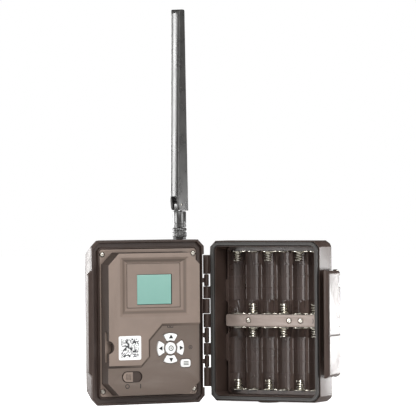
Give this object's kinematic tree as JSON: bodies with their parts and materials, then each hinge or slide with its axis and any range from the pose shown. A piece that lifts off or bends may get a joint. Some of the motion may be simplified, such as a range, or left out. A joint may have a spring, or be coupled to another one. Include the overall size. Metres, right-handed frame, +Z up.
{
  "type": "trail camera",
  "caption": "Trail camera opened on its side hinge: battery case with AA cell tray, front case with display, keys and slide switch, side latch and hinged paddle antenna.",
  "frame": {"origin": "middle of the opened camera's footprint, on the surface it stands on", "axes": "+Z up along the hinge line and the raised antenna; the rear case is square to the axes and opens towards -Y"},
  "size_m": [0.2092, 0.1364, 0.3381],
  "materials": {
    "brown_shell": "fine textured dark brown moulding",
    "brown_panel": "fine textured brown moulding",
    "tray": "satin black-brown moulding",
    "bar": "satin brown moulding",
    "gasket": "soft grey silicone seal",
    "rubber": "black rubber",
    "white_keys": "satin white keycaps with printed arrows",
    "white_board": "white solder mask and clear emitters",
    "white_lens": "milky ribbed lens",
    "board": "green solder mask",
    "display": "pale green display under clear cover",
    "lens_glass": "coated glass",
    "dark_window": "dark infrared window",
    "antenna": "semi-gloss black moulding",
    "black_plastic": "matte black moulding",
    "brass": "machined",
    "nickel": "nickel-plated spring steel",
    "steel": "plain bright steel"
  },
  "bodies": {
    "rear_case": {"rear_shell": "brown_shell", "rim_gasket": "gasket", "tripod_insert": "brass", "hinge_pin_lower": "steel", "hinge_pin_upper": "steel", "battery_tray": "tray", "tray_bar": "bar", "tray_screw_1": "steel", "tray_screw_2": "steel", "tray_screw_3": "steel", "contact_lower_outer_1": "nickel", "contact_lower_outer_2": "nickel", "contact_lower_outer_3": "nickel", "contact_lower_inner_1": "nickel", "contact_lower_inner_2": "nickel", "contact_lower_inner_3": "nickel", "contact_upper_inner_1": "nickel", "contact_upper_inner_2": "nickel", "contact_upper_inner_3": "nickel", "contact_upper_outer_1": "nickel", "contact_upper_outer_2": "nickel", "contact_upper_outer_3": "nickel", "tree_bracket": "brown_shell", "bracket_screw_1": "steel", "bracket_screw_2": "steel", "latch_pin": "steel"},
    "front_case": {"front_shell": "brown_shell", "cable_sleeve": "rubber", "control_panel": "brown_panel", "panel_screw_1": "steel", "panel_screw_2": "steel", "panel_screw_3": "steel", "panel_screw_4": "steel", "power_switch": "black_plastic", "lcd_window": "display", "lcd_module": "black_plastic", "dome_mat": "rubber", "card_socket": "steel", "main_board": "board", "lens_bezel": "black_plastic", "lens_glass": "lens_glass", "lens_barrel": "black_plastic", "led_window": "dark_window", "led_board": "white_board", "pir_lens": "white_lens", "pir_sensor": "steel", "antenna_jack": "brass"},
    "latch": {"latch_lever": "brown_shell"},
    "antenna_nut": {"antenna_nut": "antenna"},
    "antenna_neck": {"antenna_neck": "antenna"},
    "antenna_blade": {"antenna_blade": "antenna", "antenna_pivot": "steel"},
    "power_slider": {"power_slider": "brown_panel"},
    "key_up": {"key_up": "white_keys"},
    "key_down": {"key_down": "white_keys"},
    "key_left": {"key_left": "white_keys"},
    "key_right": {"key_right": "white_keys"},
    "key_ok": {"key_ok": "white_keys"},
    "key_menu": {"key_menu": "white_keys"}
  },
  "joints": [
    {"name": "case_hinge", "type": "hinge", "parent": "rear_case", "child": "front_case", "pos_m": [-0.01636, 0.02585, 0.07], "axis": [0, 0, 1], "range_deg": [-56.5, 123.5]},
    {"name": "latch_swing", "type": "hinge", "parent": "rear_case", "child": "latch", "pos_m": [0.09684, 0.04885, 0.0682], "axis": [0, 0, 1], "range_deg": [-9.5, 75]},
    {"name": "antenna_nut_turn", "type": "hinge", "parent": "front_case", "child": "antenna_nut", "pos_m": [-0.03819, 0.01824, 0.1455], "axis": [0, 0, 1], "continuous": true},
    {"name": "antenna_swivel", "type": "hinge", "parent": "front_case", "child": "antenna_neck", "pos_m": [-0.03819, 0.01824, 0.157], "axis": [0, 0, 1], "continuous": true},
    {"name": "antenna_tilt", "type": "hinge", "parent": "antenna_neck", "child": "antenna_blade", "pos_m": [-0.03836, 0.01574, 0.1699], "axis": [0.9976, -0.0698, 0], "range_deg": [0, 90]},
    {"name": "power_slide", "type": "slide", "parent": "front_case", "child": "power_slider", "axis": [0.5519, 0.8339, 0], "range_m": [0, 0.006]},
    {"name": "key_up_press", "type": "slide", "parent": "front_case", "child": "key_up", "axis": [-0.8339, 0.5519, 0], "range_m": [0, 0.0008], "stiffness_N_per_m": 600},
    {"name": "key_down_press", "type": "slide", "parent": "front_case", "child": "key_down", "axis": [-0.8339, 0.5519, 0], "range_m": [0, 0.0008], "stiffness_N_per_m": 600},
    {"name": "key_left_press", "type": "slide", "parent": "front_case", "child": "key_left", "axis": [-0.8339, 0.5519, 0], "range_m": [0, 0.0008], "stiffness_N_per_m": 600},
    {"name": "key_right_press", "type": "slide", "parent": "front_case", "child": "key_right", "axis": [-0.8339, 0.5519, 0], "range_m": [0, 0.0008], "stiffness_N_per_m": 600},
    {"name": "key_ok_press", "type": "slide", "parent": "front_case", "child": "key_ok", "axis": [-0.8339, 0.5519, 0], "range_m": [0, 0.0008], "stiffness_N_per_m": 600},
    {"name": "key_menu_press", "type": "slide", "parent": "front_case", "child": "key_menu", "axis": [-0.8339, 0.5519, 0], "range_m": [0, 0.0008], "stiffness_N_per_m": 600}
  ]
}
